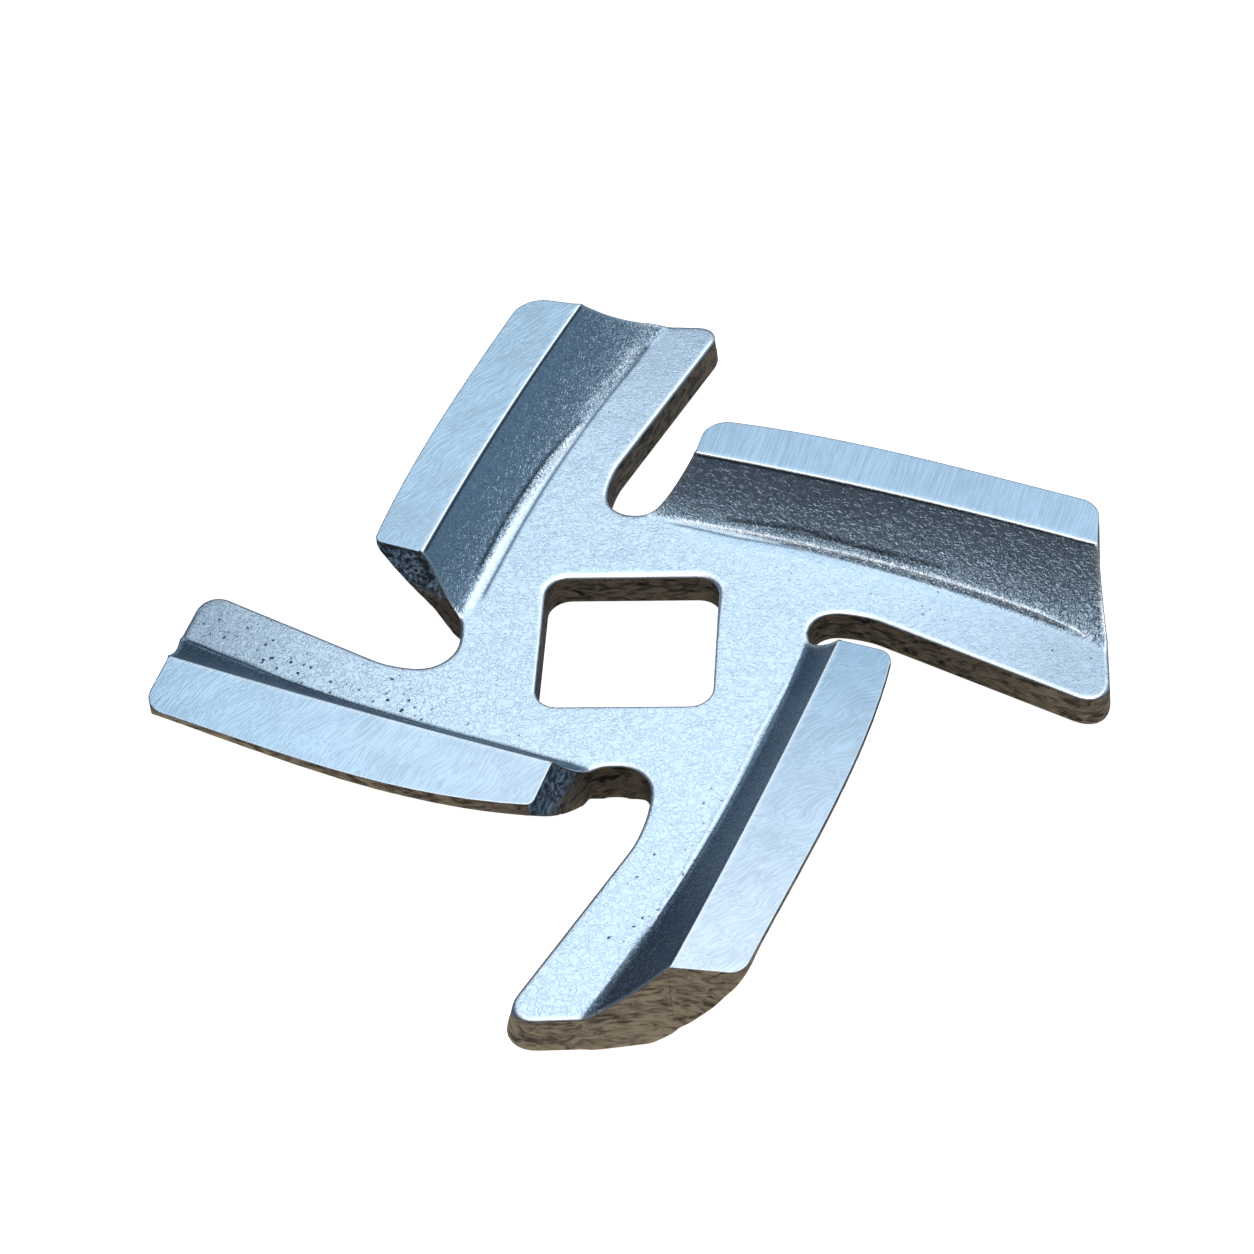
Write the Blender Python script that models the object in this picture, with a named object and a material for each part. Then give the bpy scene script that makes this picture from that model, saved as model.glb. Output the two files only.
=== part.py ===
# Meat grinder knife: four swept arms round a square drive hole, cast in one piece and ground on its lands.
#
# Frame: metres, +Z up. The knife lies on its flat underside with its four ground lands up, as it
# faces the hole plate. The origin is on the axis of the drive hole, in the plane of the underside.
# Every plan size below is given for one arm that points along +Y, and the other arms are turns of it.
# The cutting edge is on the -X side of that arm, and the arm turns towards -X when the knife cuts.

import bmesh
import bpy
from math import atan2, ceil, cos, hypot, pi, radians, sin, tan
from mathutils import Matrix, Vector

MM = 0.001

# Drive hole and plate
ARMS = 4
DRIVE_SQUARE = 10.0 * MM
DRIVE_CORNER = 1.35 * MM
PLATE_THICKNESS = 2.15 * MM
SIDE_DRAFT = radians(3.5)
RIM_RADIUS = 0.3 * MM
HOLE_RIM_RADIUS = 0.35 * MM

# Blade: the raised rib along the front of an arm, with the ground land on its top
LAND_RISE = 3.25 * MM
EDGE_BULGE = 0.52 * MM
LAND_BACK_X = -13.15 * MM
LAND_BACK_LEAN = radians(19.8)

# Corners of an arm's outline, in order round the arm, each with the radius that rounds it
ROOT_X, ROOT_Y, ROOT_RADIUS = -10.10 * MM, 2.20 * MM, 3.9 * MM
HEEL_X, HEEL_Y, HEEL_RADIUS = -14.80 * MM, 4.80 * MM, 0.7 * MM
TOE_X, TOE_Y, TOE_RADIUS = -7.70 * MM, 26.05 * MM, 1.4 * MM
TAIL_X, TAIL_Y, TAIL_RADIUS = 5.15 * MM, 26.15 * MM, 1.3 * MM
WAIST_X, WAIST_Y, WAIST_RADIUS = -1.95 * MM, 13.20 * MM, 6.0 * MM
NOTCH_X, NOTCH_Y, NOTCH_RADIUS = -1.95 * MM, 9.68 * MM, 1.8 * MM

# Slope behind the land: it runs down to its foot, an arc on the plate
FOOT_X, FOOT_Y = -10.05 * MM, 0.4 * MM
FOOT_LEAN = radians(15.0)
FOOT_RADIUS = 104.0 * MM
SLOPE_HOLLOW = 1.45
SLOPE_SINK = 0.2 * MM

# Belly: the clearance under the cutting edge, below a narrow front face
FRONT_FACE = 0.35 * MM
BELLY_WIDTH = 5.4 * MM
BELLY_ROUND = 1.45
BELLY_SINK = 0.15 * MM

# Fineness of the curves
ARC_STEP = radians(12.0)
EDGE_STEPS = 10
SLOPE_STEPS = 7
BELLY_STEPS = 8
RIM_STEPS = 2
SHORTEST_SIDE = 0.05 * MM
# How far a tool reaches past the material that it trims, and a slope past its land as a share of its width
OVERRUN = 3.0 * MM
SLOPE_OVERRUN = 0.1
BELLY_OVERRUN = 0.05
# How far a tool's rounding stands past a face, so that the two are never flush
SKIM = 0.03 * MM
# Points closer than this along a cut are one point
SEAM = 0.004 * MM

KNIFE_HEIGHT = PLATE_THICKNESS + LAND_RISE


def clear_scene():
    for thing in list(bpy.data.objects):
        bpy.data.objects.remove(thing, do_unlink=True)


def new_collection(name):
    collection = bpy.data.collections.new(name)
    bpy.context.scene.collection.children.link(collection)
    return collection


def turned(point, turn):
    """A plan point of the first arm, on the arm that is turned by this angle."""
    x, y = point
    return (x * cos(turn) - y * sin(turn), x * sin(turn) + y * cos(turn))


def rounded(corners):
    """A closed outline from corners (x, y, radius), each rounded by an arc as large as its sides allow."""
    spots = [Vector(corner[:2]) for corner in corners]
    count = len(spots)
    sides = [(spots[(number + 1) % count] - spots[number]).length for number in range(count)]
    halves = []
    reaches = []
    for number, spot in enumerate(spots):
        back = (spots[number - 1] - spot).normalized()
        ahead = (spots[(number + 1) % count] - spot).normalized()
        halves.append(back.angle(ahead) / 2)
        reaches.append(corners[number][2] / tan(halves[-1]))
    outline = []
    for number, spot in enumerate(spots):
        room_back = sides[number - 1] / max(reaches[number] + reaches[number - 1], sides[number - 1])
        room_ahead = sides[number] / max(reaches[number] + reaches[(number + 1) % count], sides[number])
        reach = reaches[number] * min(room_back, room_ahead)
        if reach == 0.0:
            outline.append((spot.x, spot.y))
            continue
        start = spot + (spots[number - 1] - spot).normalized() * reach
        end = spot + (spots[(number + 1) % count] - spot).normalized() * reach
        middle = (start + end) / 2
        centre = middle + (middle - spot).normalized() * (end - start).length / 2 * tan(halves[number])
        sweep = (start - centre).angle_signed(end - centre)
        steps = max(2, ceil(abs(sweep) / ARC_STEP))
        for step in range(steps + 1):
            arm = Matrix.Rotation(-sweep * step / steps, 2) @ (start - centre)
            outline.append((centre.x + arm.x, centre.y + arm.y))
    return apart(outline)


def apart(outline):
    """The same closed outline, without the points that lie almost on the one before them."""
    kept = []
    for number, (x, y) in enumerate(outline):
        if hypot(x - outline[number - 1][0], y - outline[number - 1][1]) > SHORTEST_SIDE:
            kept.append((x, y))
    return kept


def cutting_edge(reach=0.0, steps=EDGE_STEPS):
    """Points along the cutting edge from heel to toe, bowed forwards, and past both ends by a reach."""
    heel = Vector((HEEL_X, HEEL_Y))
    toe = Vector((TOE_X, TOE_Y))
    along = (toe - heel).normalized()
    forwards = Vector((-along.y, along.x))
    half = (toe - heel).length / 2
    middle = (heel + toe) / 2
    radius = (half ** 2 + EDGE_BULGE ** 2) / (2 * EDGE_BULGE)
    centre = middle + forwards * (EDGE_BULGE - radius)
    end = atan2(half, radius - EDGE_BULGE) + reach / radius
    points = []
    for step in range(steps + 1):
        angle = end * (2 * step / steps - 1)
        spot = centre + forwards * radius * cos(angle) + along * radius * sin(angle)
        points.append((spot.x, spot.y))
    return points


def foot_point(distance):
    """A point of the slope's foot, this far along its arc from the heel end."""
    turn = FOOT_LEAN + distance / FOOT_RADIUS
    return (FOOT_X + FOOT_RADIUS * (cos(FOOT_LEAN) - cos(turn)),
            FOOT_Y + FOOT_RADIUS * (sin(turn) - sin(FOOT_LEAN)))


def knife_outline():
    """The outline of the whole knife in plan, arm after arm, clockwise."""
    arm = [(ROOT_X, ROOT_Y, ROOT_RADIUS), (HEEL_X, HEEL_Y, HEEL_RADIUS)]
    arm += [(x, y, 0.0) for x, y in cutting_edge()[1:-1]]
    arm += [(TOE_X, TOE_Y, TOE_RADIUS), (TAIL_X, TAIL_Y, TAIL_RADIUS)]
    arm += [(WAIST_X, WAIST_Y, WAIST_RADIUS), (NOTCH_X, NOTCH_Y, NOTCH_RADIUS)]
    corners = []
    for number in range(ARMS):
        turn = -2 * pi * number / ARMS
        corners += [(*turned((x, y), turn), radius) for x, y, radius in arm]
    return rounded(corners)


def drive_hole():
    """The outline of the square hole with its rounded corners, clockwise."""
    half = DRIVE_SQUARE / 2
    corners = [(-half, -half), (-half, half), (half, half), (half, -half)]
    return rounded([(x, y, DRIVE_CORNER) for x, y in corners])


def moved_sideways(outline, distance):
    """A clockwise outline moved outwards by a distance, point by point."""
    moved = []
    for number, point in enumerate(outline):
        spot = Vector(point)
        before = (spot - Vector(outline[number - 1])).normalized()
        after = (Vector(outline[(number + 1) % len(outline)]) - spot).normalized()
        along = (before + after).normalized()
        outwards = Vector((-along.y, along.x))
        spot += outwards * distance / along.dot(before)
        moved.append((spot.x, spot.y))
    return moved


def stack(name, rings, collection):
    """A closed solid through a stack of like outlines, each given with its height, from the lowest up."""
    built = bmesh.new()
    rows = [[built.verts.new((x, y, height)) for x, y in outline] for outline, height in rings]
    built.faces.new(rows[0])
    for row, above in zip(rows, rows[1:]):
        for number in range(len(row)):
            built.faces.new((row[number - 1], row[number], above[number], above[number - 1]))
    built.faces.new(rows[-1])
    return solid(name, built, collection)


def solid(name, built, collection):
    """The object of a finished mesh, with its faces turned outwards."""
    bmesh.ops.recalc_face_normals(built, faces=built.faces)
    mesh = bpy.data.meshes.new(name)
    built.to_mesh(mesh)
    built.free()
    body = bpy.data.objects.new(name, mesh)
    collection.objects.link(body)
    return body


def drafted(outline, height, inset=0.0):
    """The outline at a height of the plate, whose side walls lean out towards the underside."""
    return moved_sideways(outline, (PLATE_THICKNESS - height) * tan(SIDE_DRAFT) - inset)


def rim(height, direction, radius):
    """Steps of a rounded rim: how far each lies in from the wall, and its height."""
    steps = []
    for step in range(RIM_STEPS + 1):
        angle = pi / 2 * step / RIM_STEPS
        steps.append((radius * (1 - cos(angle)), height - direction * radius * (1 - sin(angle))))
    return steps


def loft(name, sections, collection):
    """A closed solid through a row of like sections, repeated on every arm."""
    built = bmesh.new()
    for number in range(ARMS):
        turn = Matrix.Rotation(-2 * pi * number / ARMS, 4, "Z")
        rings = [[built.verts.new(turn @ Vector(point)) for point in section] for section in sections]
        for ring, following in zip(rings, rings[1:]):
            for corner in range(len(ring)):
                other = (corner + 1) % len(ring)
                built.faces.new((ring[corner], ring[other], following[other], following[corner]))
        built.faces.new(rings[0])
        built.faces.new(rings[-1])
    return solid(name, built, collection)


def slope_sections():
    """Sections of the rib: the land's flat top and the hollow slope down from its back edge to the foot."""
    back_edge = Vector((sin(LAND_BACK_LEAN), cos(LAND_BACK_LEAN)))
    heel = Vector((HEEL_X, HEEL_Y))
    along = (Vector((TOE_X, TOE_Y)) - heel).normalized()
    front_line = heel + Vector((-along.y, along.x)) * (EDGE_BULGE + OVERRUN)
    sections = []
    for step in range(EDGE_STEPS + 1):
        distance = (TOE_Y + OVERRUN) * step / EDGE_STEPS
        foot = Vector(foot_point(distance))
        lean = FOOT_LEAN + distance / FOOT_RADIUS
        across = Vector((-cos(lean), sin(lean)))
        gap = Vector((LAND_BACK_X, 0.0)) - foot
        width = gap.cross(back_edge) / across.cross(back_edge)
        front = foot + across * (front_line - foot).cross(along) / across.cross(along)
        section = [(front.x, front.y, -OVERRUN / 2), (front.x, front.y, KNIFE_HEIGHT + OVERRUN)]
        for part in range(SLOPE_STEPS + 1):
            share = (1 + SLOPE_OVERRUN) * (1 - part / SLOPE_STEPS)
            spot = foot + across * width * share
            height = (LAND_RISE + SLOPE_SINK) * share ** SLOPE_HOLLOW - SLOPE_SINK
            section.append((spot.x, spot.y, PLATE_THICKNESS + height))
        section.append((foot.x, foot.y, -OVERRUN / 2))
        sections.append(section)
    return sections


def belly_sections():
    """Sections of the clearance under the cutting edge, square to the edge."""
    edge = cutting_edge(reach=OVERRUN)
    drop = KNIFE_HEIGHT - FRONT_FACE + BELLY_SINK
    sections = []
    for number, spot in enumerate(edge):
        before = edge[max(number - 1, 0)]
        after = edge[min(number + 1, len(edge) - 1)]
        length = hypot(after[0] - before[0], after[1] - before[1])
        across = Vector(((after[1] - before[1]) / length, (before[0] - after[0]) / length))
        front = Vector(spot) - across * OVERRUN
        section = [(front.x, front.y, -OVERRUN), (front.x, front.y, KNIFE_HEIGHT)]
        for part in range(BELLY_STEPS + 1):
            share = (1 + BELLY_OVERRUN) * part / BELLY_STEPS - BELLY_OVERRUN
            place = Vector(spot) + across * BELLY_WIDTH * share
            height = KNIFE_HEIGHT - FRONT_FACE - drop * (1 - (1 - share) ** BELLY_ROUND)
            section.append((place.x, place.y, height))
        section.append((place.x, place.y, -OVERRUN))
        sections.append(section)
    return sections


def boolean(body, operation, tool):
    modifier = body.modifiers.new(tool.name, "BOOLEAN")
    modifier.operation = operation
    modifier.solver = "EXACT"
    modifier.object = tool
    weld = body.modifiers.new(tool.name + "_seam", "WELD")
    weld.merge_threshold = SEAM
    tool.hide_render = True
    tool.display_type = "WIRE"


def cast_steel():
    """Bright tumbled cast steel."""
    material = bpy.data.materials.new("cast_steel")
    material.use_nodes = True
    shader = material.node_tree.nodes["Principled BSDF"]
    shader.inputs["Base Color"].default_value = (0.52, 0.60, 0.69, 1.0)
    shader.inputs["Metallic"].default_value = 1.0
    shader.inputs["Roughness"].default_value = 0.36
    return material


def build_knife():
    knife_parts = new_collection("meat_grinder_knife")
    tools = new_collection("shaping_tools")
    outline = knife_outline()

    # The drafted plate carried up to the lands, with a small radius round the underside
    rings = [(drafted(outline, height, inset), height) for inset, height in rim(0.0, -1, RIM_RADIUS)[::-1]]
    rings += [(outline, PLATE_THICKNESS), (outline, KNIFE_HEIGHT)]
    knife = stack("grinder_knife", rings, knife_parts)

    # The top form: the plate with its rounded rim, and the four ribs that rise from it
    steps = [(0.0, -OVERRUN)] + rim(PLATE_THICKNESS, 1, RIM_RADIUS)
    rings = [(drafted(outline, height, inset - SKIM), height) for inset, height in steps]
    top_form = stack("top_form", rings, tools)
    boolean(top_form, "UNION", loft("slopes", slope_sections(), tools))
    boolean(knife, "INTERSECT", top_form)

    # The square drive hole, with rolled rims
    square = drive_hole()
    rims = rim(-SKIM, -1, HOLE_RIM_RADIUS)[::-1] + rim(PLATE_THICKNESS + SKIM, 1, HOLE_RIM_RADIUS)
    rings = [(moved_sideways(square, flare), height) for flare, height in rims]
    rings = [(rings[0][0], -OVERRUN)] + rings + [(rings[-1][0], PLATE_THICKNESS + OVERRUN)]
    boolean(knife, "DIFFERENCE", stack("drive_hole", rings, tools))

    # The belly under each cutting edge
    boolean(knife, "DIFFERENCE", loft("bellies", belly_sections(), tools))

    knife.data.materials.append(cast_steel())


clear_scene()
build_knife()
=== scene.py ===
from math import atan2, ceil, cos, exp, pi, radians, sin, sqrt, tan

import bmesh
import bpy
from mathutils import Euler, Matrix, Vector, noise
from mathutils.geometry import delaunay_2d_cdt, intersect_line_line_2d
from mathutils.kdtree import KDTree


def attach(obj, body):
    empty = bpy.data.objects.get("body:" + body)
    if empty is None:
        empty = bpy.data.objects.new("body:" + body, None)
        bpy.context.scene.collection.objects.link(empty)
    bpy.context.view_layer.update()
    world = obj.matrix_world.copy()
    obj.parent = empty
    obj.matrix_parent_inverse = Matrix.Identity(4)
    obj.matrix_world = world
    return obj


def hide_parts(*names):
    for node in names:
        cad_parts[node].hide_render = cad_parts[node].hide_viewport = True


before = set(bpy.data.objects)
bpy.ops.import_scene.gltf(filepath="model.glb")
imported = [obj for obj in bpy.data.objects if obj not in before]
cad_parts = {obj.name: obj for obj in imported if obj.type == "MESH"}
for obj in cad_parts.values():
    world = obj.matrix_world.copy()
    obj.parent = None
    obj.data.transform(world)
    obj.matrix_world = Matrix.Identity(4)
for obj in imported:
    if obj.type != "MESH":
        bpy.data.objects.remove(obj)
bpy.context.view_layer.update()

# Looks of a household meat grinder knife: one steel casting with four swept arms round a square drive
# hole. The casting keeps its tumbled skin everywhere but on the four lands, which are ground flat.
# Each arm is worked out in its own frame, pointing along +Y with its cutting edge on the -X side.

# Camera
# A long lens held at about 47 degrees above the table, a little to the right of the arm that points
# towards the viewer, as the photograph shows the knife.
camera = bpy.data.objects.new("camera", bpy.data.cameras.new("camera"))
camera.data.sensor_width = 36.0
camera.data.lens = 92.74
camera.data.clip_start = 0.01
camera.location = (0.017716, -0.124188, 0.134810)
camera.rotation_euler = Euler((0.7584, 0.0769, 0.0605), "XYZ")
bpy.context.scene.collection.objects.link(camera)
bpy.context.scene.camera = camera

# Plan of the casting
# The knife is one flat casting of tool steel, so its plan gives every side wall. The four arms came
# out of the mould a little unlike, so each has corners, a slope and wear of its own.
MM = 0.001
PLATE = 2.15 * MM
RISE = 3.25 * MM
HEIGHT = PLATE + RISE
DRIVE_SQUARE = 10.0 * MM
DRIVE_CORNER = 1.35 * MM
EDGE_POINTS = 14
ARC_STEPS = 9
# An arc takes nearly all of the room that its two sides leave it
ARC_SHARE = 0.99
OUTLINE_STEP = 0.2 * MM
SHORTEST_SIDE = 0.02 * MM
# Each corner of an arm, in order round it, has its x, y and radius, in millimetres as all lengths here
# turn, bow, skew: the arm's turn, how far its cutting edge bows, and how much more so near the heel
# crease, lean, crease_bow: where the land's back edge starts, its degrees from the arm, and its bow
# foot_out, foot_tip: how far the slope's foot lies behind the common arc, near the root and at the tip
# hollow: the power of the slope's rise
# face_heel, face_toe: the height of the narrow face under the cutting edge
# tip_draft, root_draft: how many degrees the side walls lean out there
# pits, slope_shade_low, slope_shade_high, tip_darkening, edge_highlight: how much of each the steel shows,
# up to 1. The slope shade is painted shade, and the edge highlight a painted highlight along the lands'
# walls
ARMS = {
    "back": {
        "turn": 0.0, "bow": 0.45, "skew": 0.15,
        "root": (-9.62, 1.7, 1.5), "hip": (-11.5, 3.85, 1.5), "heel": (-14.67, 4.95, 0.5),
        "toe": (-7.73, 25.95, 2.0), "crest": (-4.2, 25.2, 1.5), "brow": (0.1, 26.75, 2.0),
        "tail": (4.45, 26.5, 1.15), "waist": (-1.95, 13.2, 6.0), "notch": (-1.98, 10.2, 1.7),
        "crease": -13.15, "lean": 19.7, "crease_bow": 0.30,
        "foot_out": 0.0, "foot_tip": 0.0, "hollow": 1.5,
        "face_heel": 0.35, "face_toe": 0.35, "tip_draft": 3.5, "root_draft": 3.5,
        "pits": 0.2, "slope_shade_low": 0.0, "slope_shade_high": 0.0, "tip_darkening": 0.15, "edge_highlight": 0.25,
    },
    "right": {
        "turn": -pi / 2, "bow": 0.57, "skew": 0.29,
        "root": (-10.05, 0.6, 2.5), "hip": (-11.93, 3.48, 0.7), "heel": (-14.7, 4.1, 1.5),
        "toe": (-7.28, 26.6, 1.4), "crest": (-4.1, 26.4, 1.5), "brow": (0.5, 26.85, 3.0),
        "tail": (5.55, 26.85, 1.35), "waist": (-1.9, 13.1, 6.0), "notch": (-2.0, 10.1, 1.7),
        "crease": -13.09, "lean": 19.0, "crease_bow": 0.32,
        "foot_out": 0.1, "foot_tip": 0.1, "hollow": 1.5,
        "face_heel": 0.35, "face_toe": 0.35, "tip_draft": 3.5, "root_draft": 3.5,
        "pits": 0.35, "slope_shade_low": 0.0, "slope_shade_high": 0.15, "tip_darkening": 0.28, "edge_highlight": 0.3,
    },
    "front": {
        "turn": pi, "bow": 0.58, "skew": 0.34,
        "root": (-10.2, 0.3, 2.5), "hip": (-12.0, 3.1, 0.7), "heel": (-15.03, 4.1, 0.9),
        "toe": (-7.62, 26.0, 1.0), "crest": (-3.95, 25.6, 1.5), "brow": (0.4, 26.45, 2.0),
        "tail": (5.22, 26.66, 1.2), "waist": (-1.97, 13.6, 8.0), "notch": (-1.9, 9.3, 2.0),
        "crease": -13.15, "lean": 19.9, "crease_bow": 0.15,
        "foot_out": 0.0, "foot_tip": 0.0, "hollow": 1.25,
        "face_heel": 0.35, "face_toe": 0.35, "tip_draft": 15.0, "root_draft": 3.5,
        "pits": 0.5, "slope_shade_low": 0.78, "slope_shade_high": 0.65, "tip_darkening": 0.0, "edge_highlight": 0.4,
    },
    "left": {
        "turn": pi / 2, "bow": 0.93, "skew": 0.52,
        "root": (-9.4, 1.3, 1.5), "hip": (-11.95, 3.1, 0.6), "heel": (-14.9, 3.95, 0.45),
        "toe": (-7.74, 26.15, 1.5), "crest": (-4.05, 25.25, 1.2), "brow": (0.35, 25.85, 0.8),
        "tail": (4.25, 24.88, 1.3), "waist": (-1.95, 13.2, 6.0), "notch": (-2.05, 9.6, 2.3),
        "crease": -13.0, "lean": 19.9, "crease_bow": 0.13,
        "foot_out": 0.45, "foot_tip": 0.2, "hollow": 1.35,
        "face_heel": 0.85, "face_toe": 0.33, "tip_draft": 3.5, "root_draft": 20.0,
        "pits": 1.0, "slope_shade_low": 0.75, "slope_shade_high": 0.7, "tip_darkening": 0.35, "edge_highlight": 1.0,
    },
}


def on_arm(turn, x, y):
    """A plan point given on the arm that points along +Y, carried to the arm at this turn."""
    return Vector((x * cos(turn) - y * sin(turn), x * sin(turn) + y * cos(turn)))


def edge_line(arm):
    """The heel and toe corners of an arm's cutting edge in its own frame, and the way forwards."""
    heel = Vector(arm["heel"][:2]) * MM
    toe = Vector(arm["toe"][:2]) * MM
    return heel, toe, Vector((heel.y - toe.y, toe.x - heel.x)).normalized()


def bow_ahead(arm, share):
    """How far the cutting edge bows ahead of the straight line from heel to toe, at this share of it."""
    return 4 * share * (1 - share) * (arm["bow"] + arm["skew"] * (1 - 2 * share)) * MM


def arm_corners(arm):
    """The corners of one arm, clockwise in plan, with points along the bow of its cutting edge."""
    heel, toe, forwards = edge_line(arm)
    corners = [[value * MM for value in arm[name]] for name in ("root", "hip", "heel")]
    for number in range(1, EDGE_POINTS):
        share = number / EDGE_POINTS
        corners.append((*(heel.lerp(toe, share) + forwards * bow_ahead(arm, share)), 0.0))
    for name in ("toe", "crest", "brow", "tail", "waist", "notch"):
        corners.append([value * MM for value in arm[name]])
    return [(*on_arm(arm["turn"], x, y), radius) for x, y, radius in corners]


def drawn_outline(corners):
    """The outline through corners (x, y, radius), each rounded as far as its two sides allow."""
    plan = bmesh.new()
    spots = [plan.verts.new((x, y, 0.0)) for x, y, _ in corners]
    plan.faces.new(spots)
    count = len(spots)
    sides = [(spots[(n + 1) % count].co - spots[n].co).length for n in range(count)]
    reaches = []
    for number, spot in enumerate(spots):
        back = spots[number - 1].co - spot.co
        ahead = spots[(number + 1) % count].co - spot.co
        reaches.append(corners[number][2] / tan(back.angle(ahead) / 2))
    for number, spot in enumerate(spots):
        behind = sides[number - 1] / max(reaches[number] + reaches[number - 1], sides[number - 1])
        room = sides[number] / max(reaches[number] + reaches[(number + 1) % count], sides[number])
        if reaches[number] > 0.0:
            bmesh.ops.bevel(plan, geom=[spot], offset=reaches[number] * min(behind, room) * ARC_SHARE,
                            segments=ARC_STEPS, profile=0.5, affect="VERTICES", material=-1)
    for edge in list(plan.edges):
        cuts = round(edge.calc_length() / OUTLINE_STEP) - 1
        if cuts > 0:
            bmesh.ops.subdivide_edges(plan, edges=[edge], cuts=cuts)
    plan.faces.ensure_lookup_table()
    drawn = [loop.vert.co.xy.copy() for loop in plan.faces[0].loops]
    plan.free()
    return [spot for number, spot in enumerate(drawn) if (spot - drawn[number - 1]).length > SHORTEST_SIDE]


knife_corners = []
for arm in ARMS.values():
    knife_corners += arm_corners(arm)
outline = drawn_outline(knife_corners)
half = DRIVE_SQUARE / 2
square = ((-half, -half), (half, -half), (half, half), (-half, half))
hole = drawn_outline([(x, y, DRIVE_CORNER) for x, y in square])

# Heights of the casting
# On each arm a rib rises to the land along the cutting edge. Behind the land it falls in a hollow
# slope, as the mould left it, to a curved foot on the plate. Under the edge the belly is cut away.
FOOT_X, FOOT_Y = -10.05 * MM, 0.4 * MM
FOOT_LEAN = radians(15.0)
FOOT_RADIUS = 104.0 * MM
# An arm's own foot has left the common arc by FOOT_PARTED, and keeps changing up to FOOT_TIP
FOOT_PARTED = 6.0 * MM
FOOT_TIP = 25.0 * MM
CREASE_HEEL, CREASE_TOE = 2.8 * MM, 25.4 * MM
CREASE_SOFT = 0.05 * MM
RIB_REACH = 4.8 * MM
# What lies this far in front of an arm's heel belongs to the neighbouring arm's tail
TAIL_GAP = 1.4 * MM
BELLY_WIDTH = 5.4 * MM
BELLY_ROUND = 1.45
BELLY_SINK = 0.15 * MM
BELLY_PAST = 3.0 * MM
EDGE_PAST = 0.2 * MM
foot_centre = Vector((FOOT_X + FOOT_RADIUS * cos(FOOT_LEAN), FOOT_Y - FOOT_RADIUS * sin(FOOT_LEAN)))


def part_way(value, start, end):
    """How far a value has come from start to end: 0 up to the start, and 1 from the end on."""
    return min(max((value - start) / (end - start), 0.0), 1.0)


def foot_radius(arm, along):
    """The radius of the arc at an arm's foot, which on some arms leaves the common one past the root."""
    out = arm["foot_out"] + (arm["foot_tip"] - arm["foot_out"]) * part_way(along, 0.0, FOOT_TIP)
    return FOOT_RADIUS - out * MM * part_way(along, 0.0, FOOT_PARTED)


def crease_bow(arm, angle):
    """How far an arm's crease bows towards the cutting edge, at this angle round the foot's centre."""
    share = part_way((angle - FOOT_LEAN) * FOOT_RADIUS, CREASE_HEEL, CREASE_TOE)
    return 4 * share * (1 - share) * arm["crease_bow"] * MM


def crease_way(arm):
    """The way along the back edge of an arm's land, from the heel towards the toe."""
    return Vector((sin(radians(arm["lean"])), cos(radians(arm["lean"]))))


def slope_place(arm, spot):
    """A plan point's place on an arm's rib: how far up from the foot, the slope's width, how far along."""
    local = on_arm(-arm["turn"], *spot)
    across = (local - foot_centre).normalized()
    angle = atan2(across.y, -across.x)
    heel = Vector(arm["heel"][:2]) * MM
    if angle < FOOT_LEAN or local.y < 0.0:
        return None
    if local.x < heel.x - TAIL_GAP and local.y < heel.y:
        return None
    radius = foot_radius(arm, local.y)
    foot = foot_centre + across * radius
    back_edge = crease_way(arm)
    width = (Vector((arm["crease"] * MM, 0.0)) - foot).cross(back_edge) / across.cross(back_edge)
    width += crease_bow(arm, angle)
    up = (local - foot_centre).length - radius
    if up > width + RIB_REACH or up < -width:
        return None
    return up, width, local.y


def top_height(share, hollow):
    """The height of the casting's top at this share of the way up a slope."""
    rise = RISE * max(share, 0.0) ** hollow
    return PLATE + (rise + RISE - sqrt((rise - RISE) ** 2 + CREASE_SOFT ** 2)) / 2


def under_height(spot):
    """The height of the casting's underside at a plan point: the belly under an edge, or the flat."""
    lowest = 0.0
    for arm in ARMS.values():
        local = on_arm(-arm["turn"], *spot)
        heel, toe, forwards = edge_line(arm)
        length = (toe - heel).length
        reach = (local - heel).dot(toe - heel) / length
        run = part_way(reach, 0.0, length)
        behind = bow_ahead(arm, run) - (local - heel).dot(forwards)
        if -BELLY_PAST < reach < length + BELLY_PAST and -BELLY_PAST < behind < BELLY_WIDTH:
            face = HEIGHT - (arm["face_heel"] + (arm["face_toe"] - arm["face_heel"]) * run) * MM
            share = 1 - max(behind, -EDGE_PAST) / BELLY_WIDTH
            lowest = max(lowest, face - (face + BELLY_SINK) * (1 - share ** BELLY_ROUND))
    return lowest


# Flow lines at the feet of the slopes
# Where a slope meets the plate, the mould left shallow grooves and beads that run along its foot.
# All numbers here are millimetres, and a line fades in and out over these.
FADE_IN, FADE_OUT = 1.0, 0.5
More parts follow.
